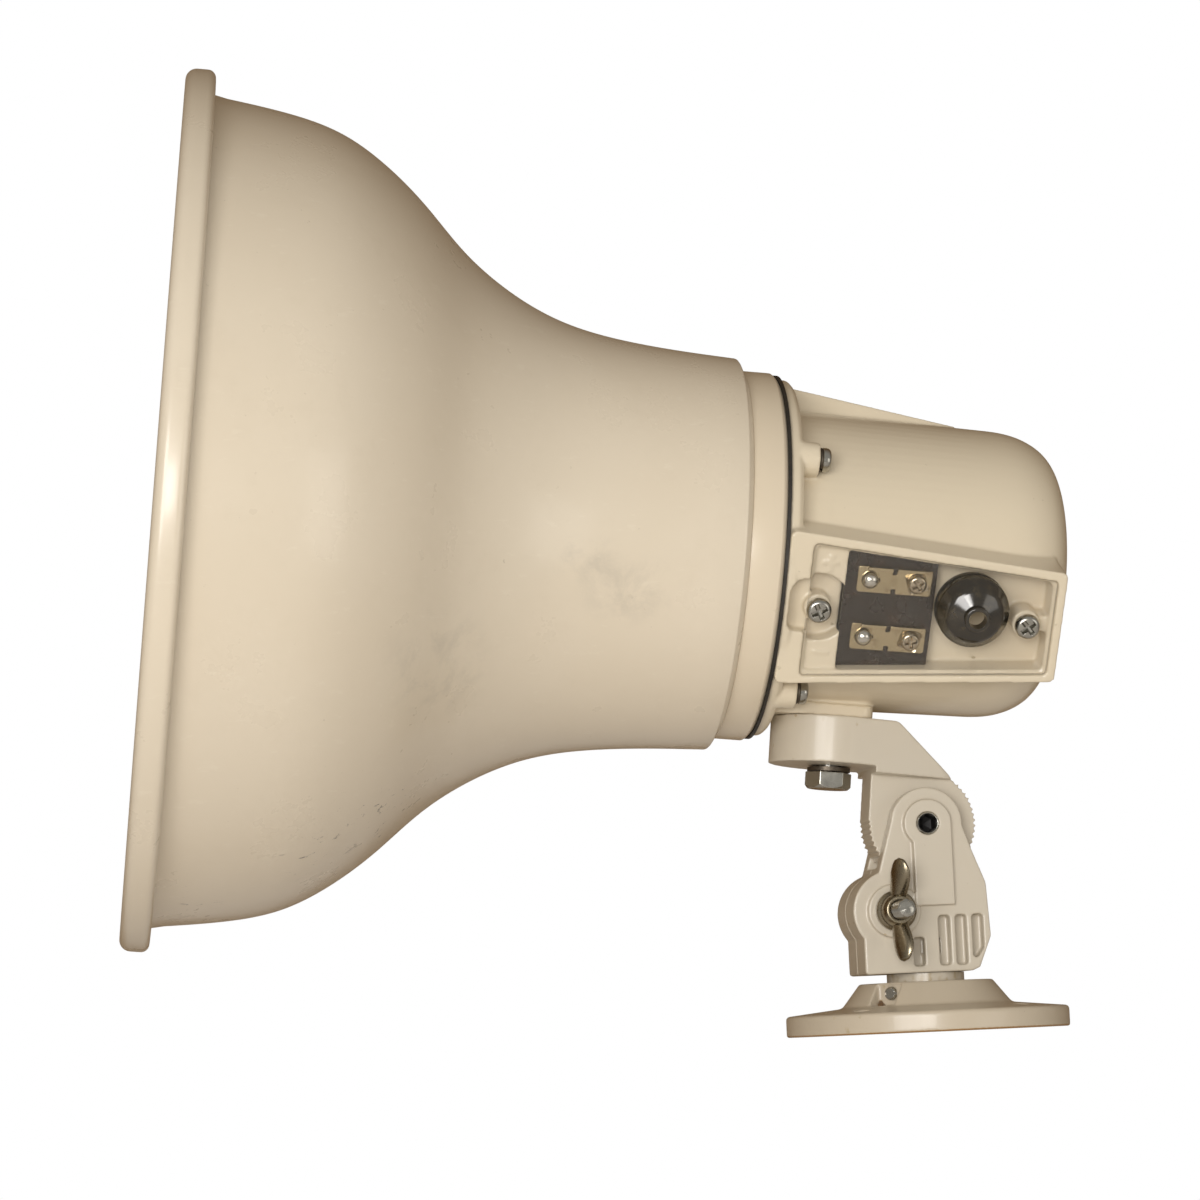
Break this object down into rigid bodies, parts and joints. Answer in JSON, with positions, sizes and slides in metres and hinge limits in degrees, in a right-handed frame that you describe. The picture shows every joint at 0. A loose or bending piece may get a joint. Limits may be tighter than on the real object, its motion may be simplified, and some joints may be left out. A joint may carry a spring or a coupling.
{
  "type": "re-entrant horn loudspeaker",
  "caption": "Round re-entrant paging horn loudspeaker with cast rear housing, clear-covered terminal box and a tilt and swivel bracket on a round base flange.",
  "frame": {"origin": "centre of the base flange mounting holes, on the mounting face", "axes": "+Z away from the mounting face; the horn mouth points to -X, tipped 6.2 degrees up; the terminal box faces -Y"},
  "size_m": [0.3072, 0.28, 0.3146],
  "materials": {
    "cream_enamel": "satin",
    "cream_plastic": "satin",
    "zinc_steel": "polished",
    "nickel_terminal": "polished",
    "brass_terminal": "satin",
    "solder": "satin",
    "black_phenolic": "satin",
    "clear_plastic": "gloss",
    "black_rubber": "satin",
    "cast_aluminium": "satin",
    "brown_phenolic": "matte",
    "copper_winding": "satin",
    "plain_steel": "satin",
    "ferrite": "matte",
    "wire_jacket": "satin"
  },
  "bodies": {
    "base": {"base_flange": "cream_enamel", "swivel_spindle": "cream_enamel", "spindle_nut": "zinc_steel", "spindle_washer": "zinc_steel", "set_screw": "zinc_steel"},
    "knuckle": {"knuckle_front": "cream_enamel", "knuckle_rear": "cream_enamel", "tilt_pin": "zinc_steel", "clamp_bolt": "zinc_steel", "clamp_washer": "zinc_steel"},
    "arm": {"tilt_arm": "cream_enamel"},
    "horn": {"back_plate": "plain_steel", "bell": "cream_enamel", "bell_screws": "zinc_steel", "cable_grommet": "black_rubber", "collar": "cream_enamel", "cover_screws": "zinc_steel", "diaphragm": "brown_phenolic", "driver_cover": "cast_aluminium", "driver_screws": "zinc_steel", "housing_gasket": "black_rubber", "housing_screws": "zinc_steel", "housing_washers": "zinc_steel", "lead_wires": "wire_jacket", "magnet": "ferrite", "pan_bolt": "zinc_steel", "pan_washer": "zinc_steel", "phase_plug": "black_phenolic", "rear_housing": "cream_enamel", "reflector": "cream_plastic", "reflector_screws": "zinc_steel", "solder_joints": "solder", "strap_screws": "zinc_steel", "terminal_block": "black_phenolic", "terminal_cover": "clear_plastic", "terminal_screws": "nickel_terminal", "terminal_strips": "brass_terminal", "terminal_washers": "nickel_terminal", "tone_arm": "cream_plastic", "tone_arm_screws": "zinc_steel", "top_plate": "plain_steel", "transformer_core": "plain_steel", "transformer_strap": "plain_steel", "transformer_winding": "copper_winding", "voice_coil": "copper_winding"},
    "wing_nut": {"wing_nut": "zinc_steel"}
  },
  "joints": [
    {"name": "base_swivel", "type": "hinge", "parent": "base", "child": "knuckle", "pos_m": [0, 0, 0.02], "axis": [0, 0, 1], "continuous": true},
    {"name": "tilt", "type": "hinge", "parent": "knuckle", "child": "arm", "pos_m": [0, 0, 0.066], "axis": [0, 1, 0], "range_deg": [-45, 75]},
    {"name": "horn_swivel", "type": "hinge", "parent": "arm", "child": "horn", "pos_m": [-0.02637, 0, 0.10105], "axis": [0.108, 0, 0.9942], "range_deg": [-90, 90]},
    {"name": "wing_nut_spin", "type": "hinge", "parent": "knuckle", "child": "wing_nut", "pos_m": [-0.012, -0.02, 0.0386], "axis": [0, -1, 0], "range_deg": [0, 720]}
  ]
}
